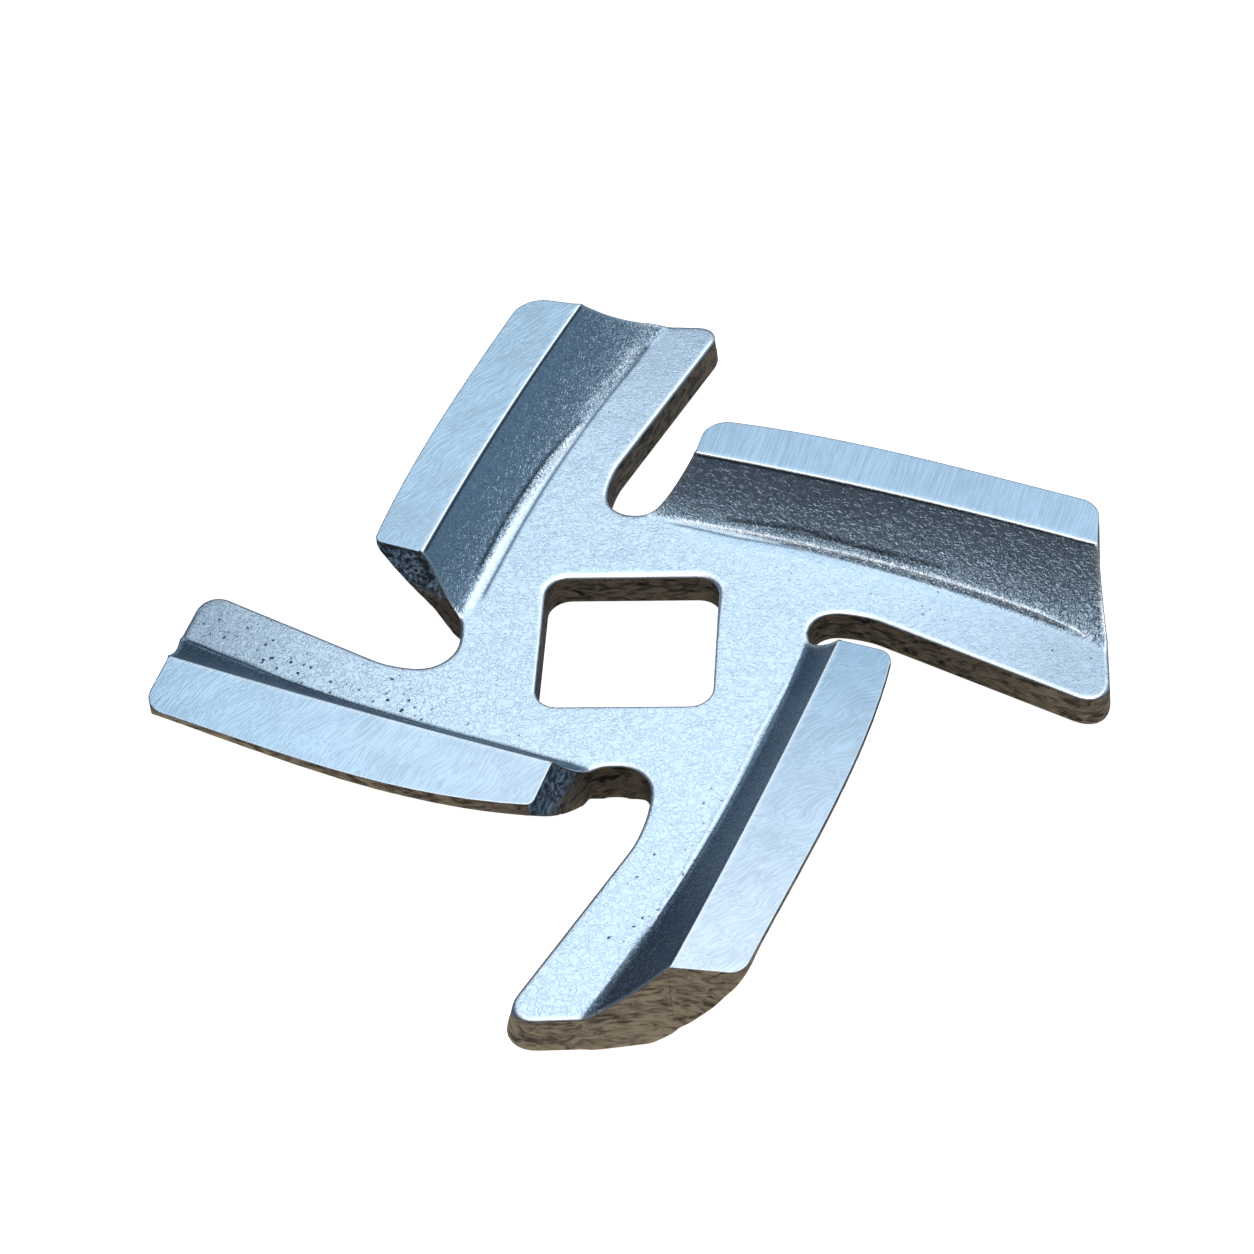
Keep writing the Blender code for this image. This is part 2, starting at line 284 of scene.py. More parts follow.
# Each line has its height and half width, and the places that it runs through: how far along the
# arm, and how far up from the foot
FLOW_LINES = {
    "back": (
        (-0.05, 0.08, ((3.0, -0.55), (7.0, -0.46), (11.9, -0.27), (17.6, -0.09), (22.7, 0.04), (25.2, 0.2))),
        (-0.05, 0.08, ((5.0, 0.4), (9.8, 0.57), (14.5, 0.6), (16.6, 0.47), (18.0, 0.3), (18.3, 0.05))),
        (0.05, 0.20, ((2.0, -0.1), (9.8, 0.1), (14.5, 0.22), (18.0, 0.15))),
        (0.03, 0.20, ((18.6, 0.45), (22.7, 0.45), (25.2, 0.6))),
    ),
    "right": (
        (0.07, 0.11, ((2.0, 0.05), (7.8, 0.28), (11.7, 0.38), (15.6, 0.51), (19.4, 0.59), (23.1, 0.64),
                      (26.0, 0.4))),
        (-0.04, 0.07, ((1.5, -0.22), (5.8, -0.21), (9.7, 0.08), (14.0, 0.16), (20.0, 0.3), (25.0, 0.4))),
        (-0.04, 0.08, ((5.0, 0.6), (6.2, 0.69), (9.7, 0.98), (12.9, 0.96), (15.6, 1.06), (18.0, 1.1))),
        (-0.03, 0.07, ((8.0, 0.7), (12.1, 0.88), (14.9, 0.89), (16.5, 0.85))),
    ),
    "front": (
        (0.025, 0.09, ((2.8, -0.13), (7.1, -0.39), (11.4, -0.22), (14.8, -0.21), (18.1, -0.08),
                       (24.0, 0.09))),
        (-0.03, 0.07, ((2.8, 0.1), (7.1, -0.15), (14.8, 0.03), (21.0, 0.15))),
    ),
    "left": (
        (-0.05, 0.09, ((1.6, -0.1), (4.4, -0.02), (12.1, -0.02), (19.0, 0.2), (21.7, 0.05), (25.5, 0.2))),
    ),
}


def flow_height(name, up, along):
    """How far the flow lines raise or sink the skin at a place on an arm's slope."""
    total = 0.0
    for height, width, places in FLOW_LINES[name]:
        run = along / MM
        if not places[0][0] < run < places[-1][0]:
            continue
        for (start, low), (end, high) in zip(places, places[1:]):
            if start <= run <= end:
                line = low + (high - low) * (run - start) / (end - start)
        fade = min(1.0, (run - places[0][0]) / FADE_IN, (places[-1][0] - run) / FADE_OUT)
        total += height * MM * fade * exp(-((up / MM - line) / width) ** 2)
    return total


# Nets of the top and the underside
# Two nets of triangles cover the plan. The top's is fine enough to carry the lumps of the cast skin,
# and finer along the rims, the feet of the slopes and the lands' back edges, so that those stay crisp.
TOP_STEP = 0.2 * MM
UNDER_STEP = 0.45 * MM
RIM_ROWS = (0.02 * MM, 0.06 * MM, 0.12 * MM, 0.20 * MM, 0.33 * MM, 0.48 * MM)
CREASE_ROWS = (-0.13 * MM, -0.06 * MM, 0.0, 0.06 * MM, 0.15 * MM)
CREASE_LENGTH = 32.0 * MM
FOOT_STEP = 0.055 * MM
FOOT_FROM, FOOT_TO = -0.7 * MM, 1.3 * MM
FOOT_LENGTH = 27.0 * MM
# How near a point of the net may be to one that stands, and a crossing to a corner of the outline
NEAREST_FOOT = 0.08 * MM
NEAREST_SHARE = 0.72
NEAREST_CORNER = 0.03 * MM
SAME_POINT = 1e-8


def tree_of(spots):
    """A search tree of plan points."""
    tree = KDTree(len(spots))
    for number, spot in enumerate(spots):
        tree.insert((*spot, 0.0), number)
    tree.balance()
    return tree


class Border:
    """The outline and the hole together: how far a plan point is from the nearest wall, and which way."""

    def __init__(self, *loops):
        self.spots = [spot for loop in loops for spot in loop]
        self.outer = len(loops[0])
        self.beside = []
        self.outwards = []
        for loop in loops:
            start = len(self.beside)
            count = len(loop)
            for number in range(count):
                self.beside.append((start + (number - 1) % count, start + (number + 1) % count))
                along = (loop[(number + 1) % count] - loop[number - 1]).normalized()
                self.outwards.append(Vector((-along.y, along.x)))
        self.tree = tree_of(self.spots)

    def nearest(self, spot):
        """The number of the nearest border point, the distance to the wall, and if it is the hole's."""
        _, number, _ = self.tree.find((*spot, 0.0))
        distances = []
        for other in self.beside[number]:
            side = self.spots[other] - self.spots[number]
            gap = spot - self.spots[number]
            distances.append((gap - side * part_way(gap.dot(side), 0.0, side.length_squared)).length)
        return number, min(distances), number >= self.outer


def inside_hole(spot):
    """Whether a plan point lies in the drive hole."""
    across = Vector((abs(spot.x), abs(spot.y)))
    corner = across - Vector((half - DRIVE_CORNER, half - DRIVE_CORNER))
    return max(across) < half and not (min(corner) > 0.0 and corner.length > DRIVE_CORNER)


def foot_spots():
    """Close rows of plan points along the foot of every slope."""
    spots = []
    for arm in ARMS.values():
        for row in range(round((FOOT_TO - FOOT_FROM) / FOOT_STEP) + 1):
            for column in range(round(FOOT_LENGTH / TOP_STEP)):
                along = (column + row % 2 / 2) * TOP_STEP
                angle = FOOT_LEAN + along / FOOT_RADIUS
                radius = foot_radius(arm, along) + FOOT_FROM + row * FOOT_STEP
                local = foot_centre + radius * Vector((-cos(angle), sin(angle)))
                spots.append(on_arm(arm["turn"], *local))
    return spots


def covered(lines, rows, close_spots, step):
    """A flat net of triangles inside the border, along the lines, with its points about a step apart."""
    spots = list(border.spots)
    ties = [(number, beside[1]) for number, beside in enumerate(border.beside)]
    for line in lines:
        ties += [(len(spots) + number, len(spots) + number + 1) for number in range(len(line) - 1)]
        spots += line
    for spot, outwards in zip(border.spots, border.outwards):
        spots += [spot - outwards * row for row in rows]
    near = tree_of(spots)
    spots += [spot for spot in close_spots if near.find((*spot, 0.0))[2] > NEAREST_FOOT]
    near = tree_of(spots)
    reach = max(abs(value) for spot in border.spots for value in spot) + step
    row_gap = step * sqrt(3) / 2
    for row in range(ceil(2 * reach / row_gap)):
        for column in range(ceil(2 * reach / step)):
            spot = Vector((-reach + (column + row % 2 / 2) * step, -reach + row * row_gap))
            if near.find((*spot, 0.0))[2] > NEAREST_SHARE * step:
                spots.append(spot)
    net = delaunay_2d_cdt(spots, ties, [], 1, SAME_POINT)
    flat = bmesh.new()
    points = [flat.verts.new((*spot, 0.0)) for spot in net[0]]
    for corners in net[2]:
        flat.faces.new([points[corner] for corner in corners])
    filling = [face for face in flat.faces if inside_hole(face.calc_center_median())]
    bmesh.ops.delete(flat, geom=filling, context="FACES")
    loose = [point for point in flat.verts if not point.link_faces]
    bmesh.ops.delete(flat, geom=loose, context="VERTS")
    return flat


# A crease line runs from one crossing of the outline to the next, and both crossings join the outline
crease_lines = []
for arm in ARMS.values():
    for shift in CREASE_ROWS:
        begin = Vector((arm["crease"] * MM + shift, 0.0))
        start = on_arm(arm["turn"], *begin)
        end = on_arm(arm["turn"], *(begin + crease_way(arm) * CREASE_LENGTH))
        ends = []
        for number in range(len(outline) - 1, -1, -1):
            crossing = intersect_line_line_2d(start, end, outline[number - 1], outline[number])
            if crossing:
                ends.append(crossing)
                if (crossing - outline[number - 1]).length < NEAREST_CORNER:
                    outline[number - 1] = crossing
                elif (crossing - outline[number]).length < NEAREST_CORNER:
                    outline[number] = crossing
                else:
                    outline.insert(number, crossing)
        first = min(ends, key=lambda spot: (spot - start).length)
        last = max(ends, key=lambda spot: (spot - start).length)
        count = round((last - first).length / TOP_STEP)
        line = [first]
        for number in range(1, count):
            local = on_arm(-arm["turn"], *first.lerp(last, number / count))
            across = (local - foot_centre).normalized()
            bowed = local + across * crease_bow(arm, atan2(across.y, -across.x))
            line.append(on_arm(arm["turn"], *bowed))
        crease_lines.append(line + [last])
border = Border(outline, hole)
casting = covered(crease_lines, RIM_ROWS, foot_spots(), TOP_STEP)
under = covered([], RIM_ROWS[1::2], [], UNDER_STEP)

# Top of the casting
# Tumbling with stones has rolled the plate's rims, and the hole's far rim the most, while the ground
# lands end almost sharp. Painted highlights brighten the rims, the beads and the lands' back edges. Painted
# shade darkens the grooves, a line behind each back edge and the slopes, the top darkens towards some
# tips, and the pits are dark.
RIM_RADIUS = 0.3 * MM
HOLE_RIM_RADIUS = 0.2 * MM
HOLE_RIM_MORE = 0.26 * MM
LAND_RIM_RADIUS = 0.06 * MM
RIM_FADE = 0.7
RIM_FLATNESS = 0.42
# How quickly the painted highlight comes in across a rim
RIM_HIGHLIGHT = 1.4
# The blade's length along an arm, over which the tone of its land changes
BLADE_FROM, BLADE_TO = 4.0 * MM, 26.0 * MM
# Millimetres past the land's back edge: a painted highlight along it, and a painted shade line just behind
# it
CREASE_HIGHLIGHT_FROM, CREASE_HIGHLIGHT_FADE, CREASE_HIGHLIGHT_TO = -0.02, 0.06, 0.14
CREASE_SHADE_AT, CREASE_SHADE_WIDTH = -0.055, 0.08
# How far in from a land's wall its painted highlight reaches
WALL_HIGHLIGHT_REACH = 0.1 * MM
# A bead this high gets the brightest painted highlight, and a groove this deep the darkest painted shade
BEAD_HEIGHT, BEAD_HIGHLIGHT = 0.08 * MM, 0.9
GROOVE_DEPTH, GROOVE_SHADE = 0.05 * MM, 0.8
# The pits lie thickest so many millimetres up from a slope's foot, outside the hub
PITS_EVERYWHERE = 0.1
PITS_MIDDLE, PITS_SPREAD = -1.0, 2.2
HUB_FROM, HUB_TO = 8.0 * MM, 13.0 * MM
# Shares of the way up a slope over which painted shade comes in, and where the top darkens towards the tip
SLOPE_SHADE_FROM, SLOPE_SHADE_TO = 0.02, 0.16
TIP_DARK_FROM, TIP_DARK_TO = 8.0 * MM, 24.0 * MM


def rolled(distance, radius):
    """How far a rim has dropped at this distance in from its wall."""
    lack = max(radius - distance, 0.0)
    return radius - sqrt(max(radius ** 2 - lack ** 2, 0.0))


def top_rim(share, spot, at_hole):
    """The radius of the top's rim at a point this far up a slope."""
    if at_hole:
        return HOLE_RIM_RADIUS + HOLE_RIM_MORE * max(spot.y / half, 0.0)
    return RIM_RADIUS + (LAND_RIM_RADIUS - RIM_RADIUS) * part_way(share, 0.0, 1.0) ** RIM_FADE


def highest_slope(spot):
    """The slope that a plan point is highest on: its arm's number and name, and the place on its rib."""
    highest = None
    share = -1.0
    for number, (name, arm) in enumerate(ARMS.items()):
        found = slope_place(arm, spot)
        if found and found[0] / found[1] > share:
            share = found[0] / found[1]
            highest = number, name, found
    return highest


# The materials read these marks: how far up a slope and along an arm a point is, how much painted
# highlight and painted shade line it gets, how pitted it is, how much painted shade and tip darkening
# it gets, and how much painted glint a heel wall gets
climb = casting.verts.layers.float.new("climb")
along_arm = casting.verts.layers.float.new("along_arm")
painted_highlight = casting.verts.layers.float.new("painted_highlight")
painted_shade_line = casting.verts.layers.float.new("painted_shade_line")
pitting = casting.verts.layers.float.new("pitting")
painted_shade_and_tip_darkening = casting.verts.layers.float.new("painted_shade_and_tip_darkening")
painted_heel_glint = casting.verts.layers.float.new("painted_heel_glint")
arm_number = casting.verts.layers.int.new("arm_number")
place = casting.verts.layers.int.new("place")
for point in casting.verts:
    spot = point.co.xy.copy()
    point[place], distance, at_hole = border.nearest(spot)
    point[climb] = -1.0
    point[pitting] = PITS_EVERYWHERE
    # Painted highlight, white, along the rolled rims of the top
    point[painted_highlight] = min(RIM_HIGHLIGHT * max(1 - distance / top_rim(0.0, spot, at_hole), 0.0), 1.0)
    raised = 0.0
    hollow = 1.0
    highest = highest_slope(spot)
    if highest:
        number, name, (up, width, along) = highest
        arm = ARMS[name]
        hollow = arm["hollow"]
        raised = flow_height(name, up, along)
        share = part_way(up, 0.0, width)
        beyond = (up - width) / MM
        point[climb] = up / width
        point[along_arm] = part_way(along, BLADE_FROM, BLADE_TO)
        point[arm_number] = number
        # Painted highlight on the beads, and painted shade in the grooves
        bead = min(max(raised / BEAD_HEIGHT, 0.0), BEAD_HIGHLIGHT)
        groove = min(max(-raised / GROOVE_DEPTH, 0.0), GROOVE_SHADE)
        point[painted_highlight] = max(point[painted_highlight], bead)
        # Painted highlight along the land's back edge and along the land's walls
        if beyond > CREASE_HIGHLIGHT_FROM:
            wall_highlight = max(1.0 - distance / WALL_HIGHLIGHT_REACH, 0.0) * arm["edge_highlight"]
            point[painted_highlight] = max(part_way(beyond, CREASE_HIGHLIGHT_TO, CREASE_HIGHLIGHT_FADE), wall_highlight)
        # Painted shade in a line just behind the land's back edge, and in the grooves
        point[painted_shade_line] = max(1.0 - abs(beyond - CREASE_SHADE_AT) / CREASE_SHADE_WIDTH, groove)
        outside_hub = part_way(spot.length, HUB_FROM, HUB_TO)
        pits_here = exp(-((up / MM - PITS_MIDDLE) / PITS_SPREAD) ** 2)
        point[pitting] = PITS_EVERYWHERE + arm["pits"] * outside_hub * pits_here
        # Painted shade on the slope, stronger on some arms, and the top darker towards the tip
        darkness = arm["slope_shade_low"] + (arm["slope_shade_high"] - arm["slope_shade_low"]) * share
        tip_darkening = arm["tip_darkening"] * part_way(along, TIP_DARK_FROM, TIP_DARK_TO) ** 2
        point[painted_shade_and_tip_darkening] = max(darkness * part_way(share, SLOPE_SHADE_FROM, SLOPE_SHADE_TO), tip_darkening)
    worn_off = RIM_FLATNESS * rolled(distance, top_rim(point[climb], spot, at_hole))
    point.co.z = top_height(point[climb], hollow) + raised - worn_off

# Underside and side walls
# The underside is flat but for the bellies. The walls lean out towards it, as a casting has to, to
# leave its mould, and lean most at the front arm's tip and the left arm's root.
SIDE_DRAFT = 3.5
TIP_FROM, TIP_TO = 23.5 * MM, 25.0 * MM
ROOT_NEAR, ROOT_FAR = 4.5 * MM, 6.0 * MM
# Only walls that face forwards lean more at a root
FORWARDS_FROM, FORWARDS_TO = 0.55, 0.90
WALL_ROWS = 14
DRAFT_BLEND = 1.5 * MM
BELLY_RIM, BELLY_RIM_LEAST = 2.0 * MM, 0.2
WELD = 0.002 * MM
# The painted glints on a heel wall face away from the arm's tip, and end this far from the heel and this low
HEEL_NEAR, HEEL_FAR = 4.0 * MM, 5.2 * MM
HEEL_LOW, HEEL_HIGH = 2.0 * MM, 2.9 * MM
HEEL_FACING = -0.35
# The climb of a point that isn't on the top
OFF_TOP = -2.0


def side_draft(spot, outwards):
    """How far a side wall leans out for its height, which is more at some arms' tips and roots."""
    lean = SIDE_DRAFT
    for arm in ARMS.values():
        local = on_arm(-arm["turn"], *spot)
        facing = on_arm(-arm["turn"], *outwards)
        from_root = (local - Vector(arm["root"][:2]) * MM).length
        at_tip = part_way(local.y, TIP_FROM, TIP_TO)
        at_root = part_way(from_root, ROOT_FAR, ROOT_NEAR) * part_way(-facing.x, FORWARDS_FROM, FORWARDS_TO)
        lean = max(lean, at_tip * arm["tip_draft"], at_root * arm["root_draft"])
    return tan(radians(lean))


under_place = {}
under_climb = under.verts.layers.float.new("climb")
for point in under.verts:
    point[under_climb] = OFF_TOP
    spot = point.co.xy.copy()
    number, distance, at_hole = border.nearest(spot)
    height = under_height(spot)
    radius = HOLE_RIM_RADIUS if at_hole else RIM_RADIUS * max(1 - height / BELLY_RIM, BELLY_RIM_LEAST)
    point.co.z = height + rolled(distance, radius)
    if point.is_boundary:
        under_place[number] = point

rim_edges = [edge for edge in casting.edges if edge.is_boundary]
tops = {point[place]: point.co.z for edge in rim_edges for point in edge.verts}
drafts = {}
for number, top in tops.items():
    drop = top - under_place[number].co.z
    lean_out = min(drop, PLATE) * side_draft(border.spots[number], border.outwards[number])
    lean_out += max(drop - PLATE, 0.0) * tan(radians(SIDE_DRAFT))
    drafts[number] = 0.0 if number >= border.outer else lean_out
for point in under.verts:
    number, distance, at_hole = border.nearest(point.co.xy)
    point.co.xy += border.outwards[number] * drafts[number] * part_way(distance, DRAFT_BLEND, 0.0)
for row in range(1, WALL_ROWS + 1):
    grown = bmesh.ops.extrude_edge_only(casting, edges=rim_edges)["geom"]
    rim_edges = [part for part in grown if isinstance(part, bmesh.types.BMEdge) and part.is_boundary]
    for point in {point for edge in rim_edges for point in edge.verts}:
        number = point[place]
        foot = under_place[number].co.z
        share = row / WALL_ROWS
        spot = border.spots[number] + border.outwards[number] * drafts[number] * share
        point.co = (*spot, tops[number] + (foot - tops[number]) * share)
        point[climb] = OFF_TOP
        point[painted_highlight] = 0.0
        for arm in ARMS.values():
            from_heel = (on_arm(-arm["turn"], *spot) - Vector(arm["heel"][:2]) * MM).length
            facing = on_arm(-arm["turn"], *border.outwards[number])
            # Painted reflection: bluish glints on the upper part of a heel wall that faces away from the tip
            if from_heel < HEEL_FAR and facing.y < HEEL_FACING:
                near = part_way(from_heel, HEEL_FAR, HEEL_NEAR)
                point[painted_heel_glint] = near * part_way(point.co.z, HEEL_LOW, HEEL_HIGH)
underside = bpy.data.meshes.new("underside")
bmesh.ops.reverse_faces(under, faces=under.faces)
under.to_mesh(underside)
under.free()
casting.from_mesh(underside)
open_points = [point for point in casting.verts if point.is_boundary]
bmesh.ops.remove_doubles(casting, verts=open_points, dist=WELD)
bmesh.ops.recalc_face_normals(casting, faces=casting.faces)

# Lumps of the cast skin
# The mould left the top a little lumpy, and tumbling only softened it. The ground lands are flat, so
# the lumps fade out before them, and the side walls are rougher, as nothing has smoothed them.
LUMP = 1.6 * MM
LUMP_DEPTH = 0.009 * MM
GRAIN = 0.42 * MM
GRAIN_DEPTH = 0.003 * MM
SKIN_TO, SKIN_FROM = 0.97, 0.82
WALL_LUMP = 0.9 * MM
WALL_DEPTH = 0.0175 * MM
# The walls' lumps are cut rather than raised, and lie flatter than they are long
WALL_SINK = 0.6
WALL_SQUASH = 1.6
WALL_FROM = 0.2 * MM
# A face of a land has no corner below its back edge, and at least one beyond it
ON_LAND = 0.999
# The slots of the side walls' material and of the first land's, after the skin's, which is slot 0
SIDE, LANDS = 1, 2


def lumps(spot, size, octaves=3):
    """Smooth unevenness about -1 to 1 with lumps of about this size."""
    return noise.fractal(spot / size, 0.9, 2.1, octaves, noise_basis="PERLIN_ORIGINAL")


casting.normal_update()
for point in casting.verts:
    if point[climb] != OFF_TOP:
        skin = part_way(point[climb], SKIN_TO, SKIN_FROM)
        point.co.z += skin * (LUMP_DEPTH * lumps(point.co, LUMP) + GRAIN_DEPTH * lumps(point.co, GRAIN, 2))
    elif point.co.z > WALL_FROM:
        across = Vector((*point.normal.xy, 0.0))
        streak = Vector((point.co.x, point.co.y, point.co.z * WALL_SQUASH))
        point.co += across * WALL_DEPTH * (lumps(streak, WALL_LUMP) - WALL_SINK)
for face in casting.faces:
    shares = [point[climb] for point in face.verts]
    face.smooth = True
    if OFF_TOP in shares:
        face.material_index = SIDE
    elif min(shares) > ON_LAND and sum(shares) > len(shares):
        face.material_index = LANDS + face.verts[0][arm_number]
mesh = bpy.data.meshes.new("cast_knife")
casting.to_mesh(mesh)
casting.free()
knife = bpy.data.objects.new("cast_knife", mesh)
bpy.context.scene.collection.objects.link(knife)

# Tumbled cast steel
# Chill-cast tool steel, tumbled with stones until the skin shines. The eye sees a pale, bluish gloss
# with a fine worm grain, strongest towards the feet of the slopes, and small dark pits.
WORM = 0.24 * MM
WORM_LINES = 0.42 * MM
WORM_DEPTH = 0.085 * MM
PIT_CELL = 0.42 * MM
PIT_RAGGED = 0.3 * MM
PIT_DEPTH = 0.03 * MM


def linear(hex_colour):
    """An sRGB hex colour as linear light, with full cover."""
    parts = [int(hex_colour[start:start + 2], 16) / 255 for start in (0, 2, 4)]
    return (*[part / 12.92 if part <= 0.04045 else ((part + 0.055) / 1.055) ** 2.4 for part in parts], 1.0)


def add(tree, kind, inputs, **settings):
    """A node of this kind with its settings, each input given as a value or as the socket that feeds it."""
    node = tree.nodes.new(kind)
    for name, value in settings.items():
        setattr(node, name, value)
    for name, value in inputs.items():
        if isinstance(value, bpy.types.NodeSocket):
            tree.links.new(value, node.inputs[name])
        else:
            node.inputs[name].default_value = value
    return node


steel = bpy.data.materials.new("tumbled_cast_steel")
steel.use_nodes = True
tree = steel.node_tree
shader = tree.nodes["Principled BSDF"]
place_on = add(tree, "ShaderNodeTexCoord", {}).outputs["Object"]
share_up = add(tree, "ShaderNodeAttribute", {}, attribute_name="climb").outputs["Fac"]
highlight_paint = add(tree, "ShaderNodeAttribute", {}, attribute_name="painted_highlight").outputs["Fac"]
shade_line_paint = add(tree, "ShaderNodeAttribute", {}, attribute_name="painted_shade_line").outputs["Fac"]
how_pitted = add(tree, "ShaderNodeAttribute", {}, attribute_name="pitting").outputs["Fac"]
how_dark = add(tree, "ShaderNodeAttribute", {}, attribute_name="painted_shade_and_tip_darkening").outputs["Fac"]
# Pits are up to 0.25 mm across, with ragged edges, and there is one in some of the cells only
worm_noise = add(tree, "ShaderNodeTexNoise", {"Vector": place_on, "Scale": 1 / WORM, "Detail": 2.0,
                                              "Roughness": 0.55, "Distortion": 1.4})
worms = worm_noise.outputs["Fac"]
ragged = add(tree, "ShaderNodeVectorMath",
             {0: worm_noise.outputs["Color"], 1: (PIT_RAGGED, PIT_RAGGED, PIT_RAGGED), 2: place_on},
             operation="MULTIPLY_ADD").outputs["Vector"]
cells = add(tree, "ShaderNodeTexVoronoi", {"Vector": ragged, "Scale": 1 / PIT_CELL, "Randomness": 1.0})
lot = add(tree, "ShaderNodeSeparateXYZ", {"Vector": cells.outputs["Color"]}).outputs["X"]
odds = add(tree, "ShaderNodeMath", {0: how_pitted, 1: 0.6, 2: lot}, operation="MULTIPLY_ADD").outputs[0]
size = add(tree, "ShaderNodeMapRange", {"Value": odds, "From Min": 0.88, "From Max": 1.4,
                                        "To Min": 0.0, "To Max": 0.30}).outputs["Result"]
pits = add(tree, "ShaderNodeMapRange", {"Value": cells.outputs["Distance"], "From Min": 0.0,
                                        "From Max": size, "To Min": 2.0, "To Max": 0.0}).outputs["Result"]
# The worms' own lines, about 0.08 mm wide, lie where a second, slower unevenness crosses its middle
slow = add(tree, "ShaderNodeTexNoise", {"Vector": place_on, "Scale": 1 / WORM_LINES, "Detail": 1.0,
                                        "Distortion": 0.9}).outputs["Fac"]
off_middle = add(tree, "ShaderNodeMath", {0: slow, 1: 0.5}, operation="SUBTRACT").outputs[0]
off_line = add(tree, "ShaderNodeMath", {0: off_middle}, operation="ABSOLUTE").outputs[0]
ridges = add(tree, "ShaderNodeMapRange", {"Value": off_line, "From Min": 0.0, "From Max": 0.045,
                                          "To Min": 0.0, "To Max": 1.0}).outputs["Result"]
rough_skin = add(tree, "ShaderNodeMath", {0: ridges, 1: 0.5, 2: worms}, operation="MULTIPLY_ADD").outputs[0]
# The grain is nearly worn off the plate and the rims, and coarser at the foot of a slope than at its top
coarse = add(tree, "ShaderNodeMapRange", {"Value": share_up, "From Min": 0.15, "From Max": 0.95,
                                          "To Min": 0.9, "To Max": 0.45}).outputs["Result"]
on_slope = add(tree, "ShaderNodeMapRange", {"Value": share_up, "From Min": 0.0, "From Max": 0.12,
                                            "To Min": 0.22, "To Max": 1.0}).outputs["Result"]
off_highlight = add(tree, "ShaderNodeMapRange", {"Value": highlight_paint, "From Min": 0.0, "From Max": 1.0,
                                           "To Min": 1.0, "To Max": 0.25}).outputs["Result"]
uneven = add(tree, "ShaderNodeMath", {0: coarse, 1: on_slope}, operation="MULTIPLY").outputs[0]
strength = add(tree, "ShaderNodeMath", {0: uneven, 1: off_highlight}, operation="MULTIPLY").outputs[0]
grain = add(tree, "ShaderNodeBump", {"Height": rough_skin, "Strength": strength, "Distance": WORM_DEPTH})
sunk = add(tree, "ShaderNodeMath", {0: 1.0, 1: pits}, operation="SUBTRACT").outputs[0]
pitted = add(tree, "ShaderNodeBump", {"Height": sunk, "Strength": 0.5, "Distance": PIT_DEPTH,
                                      "Normal": grain.outputs["Normal"]})
# From the bare metal up: its two tones, the pits, the painted shade and tip darkening, the painted shade
# lines and the painted highlights
bright = add(tree, "ShaderNodeMix", {"Factor": ridges, "A": linear("c4daec"), "B": linear("d2e3f0")},
             data_type="RGBA")
dark = add(tree, "ShaderNodeMix", {"Factor": pits, "A": bright.outputs["Result"], "B": linear("3a4856")},
           data_type="RGBA")
# Painted shade on the slopes, and the top darker towards some tips
darkened = add(tree, "ShaderNodeMix", {"Factor": how_dark, "A": dark.outputs["Result"],
                                     "B": linear("1a3450")}, data_type="RGBA")
# Painted shade lines, dark, in the grooves and behind the lands' back edges
line_shaded = add(tree, "ShaderNodeMix", {"Factor": shade_line_paint, "A": darkened.outputs["Result"],
                                    "B": linear("1e2a36")}, data_type="RGBA")
# Painted highlight, white, on the rims, the beads and the lands' back edges and walls
highlighted = add(tree, "ShaderNodeMix", {"Factor": highlight_paint, "A": line_shaded.outputs["Result"],
                                     "B": linear("ffffff")}, data_type="RGBA")
dull = add(tree, "ShaderNodeMapRange", {"Value": worms, "From Min": 0.3, "From Max": 0.7,
                                        "To Min": 0.24, "To Max": 0.34})
tree.links.new(highlighted.outputs["Result"], shader.inputs["Base Color"])
tree.links.new(dull.outputs["Result"], shader.inputs["Roughness"])
tree.links.new(pitted.outputs["Normal"], shader.inputs["Normal"])
shader.inputs["Metallic"].default_value = 1.0
mesh.materials.append(steel)

# Cast side walls
# The same steel as it left the mould, under a brownish grey scale, so the eye sees matt, streaky walls.
# Painted shade makes the walls near the hole darkest and fades out further away, and painted bluish glints
# stand for a reflection on the upper part of the heel walls.
STREAK = 1.3 * MM
STREAK_SQUASH = 3.2
STREAK_DEPTH = 0.09 * MM
GLINT_SIZE = 0.35 * MM
# Round this place the walls carry full painted shade up to the first distance, and none from the second on
SHADE_CENTRE = (4.0 * MM, 6.0 * MM)
SHADE_TO, SHADE_GONE_FROM = 17.0 * MM, 33.0 * MM
scale = bpy.data.materials.new("cast_scale_steel")
scale.use_nodes = True
tree = scale.node_tree
shader = tree.nodes["Principled BSDF"]
place_on = add(tree, "ShaderNodeTexCoord", {}).outputs["Object"]
heel_glint_paint = add(tree, "ShaderNodeAttribute", {}, attribute_name="painted_heel_glint").outputs["Fac"]
flattened = add(tree, "ShaderNodeMapping", {"Vector": place_on,
                                            "Scale": (1.0, 1.0, STREAK_SQUASH)}).outputs["Vector"]
streaks = add(tree, "ShaderNodeTexNoise", {"Vector": flattened, "Scale": 1 / STREAK, "Detail": 5.0,
                                           "Roughness": 0.6, "Distortion": 1.5}).outputs["Fac"]
mottle = add(tree, "ShaderNodeMapRange", {"Value": streaks, "From Min": 0.37, "From Max": 0.58,
                                          "To Min": 0.0, "To Max": 1.0}).outputs["Result"]
level = add(tree, "ShaderNodeMapping", {"Vector": place_on, "Location": (-SHADE_CENTRE[0], -SHADE_CENTRE[1], 0.0),
                                        "Scale": (1.0, 1.0, 0.0)}).outputs["Vector"]
from_shade_centre = add(tree, "ShaderNodeVectorMath", {0: level}, operation="LENGTH").outputs["Value"]
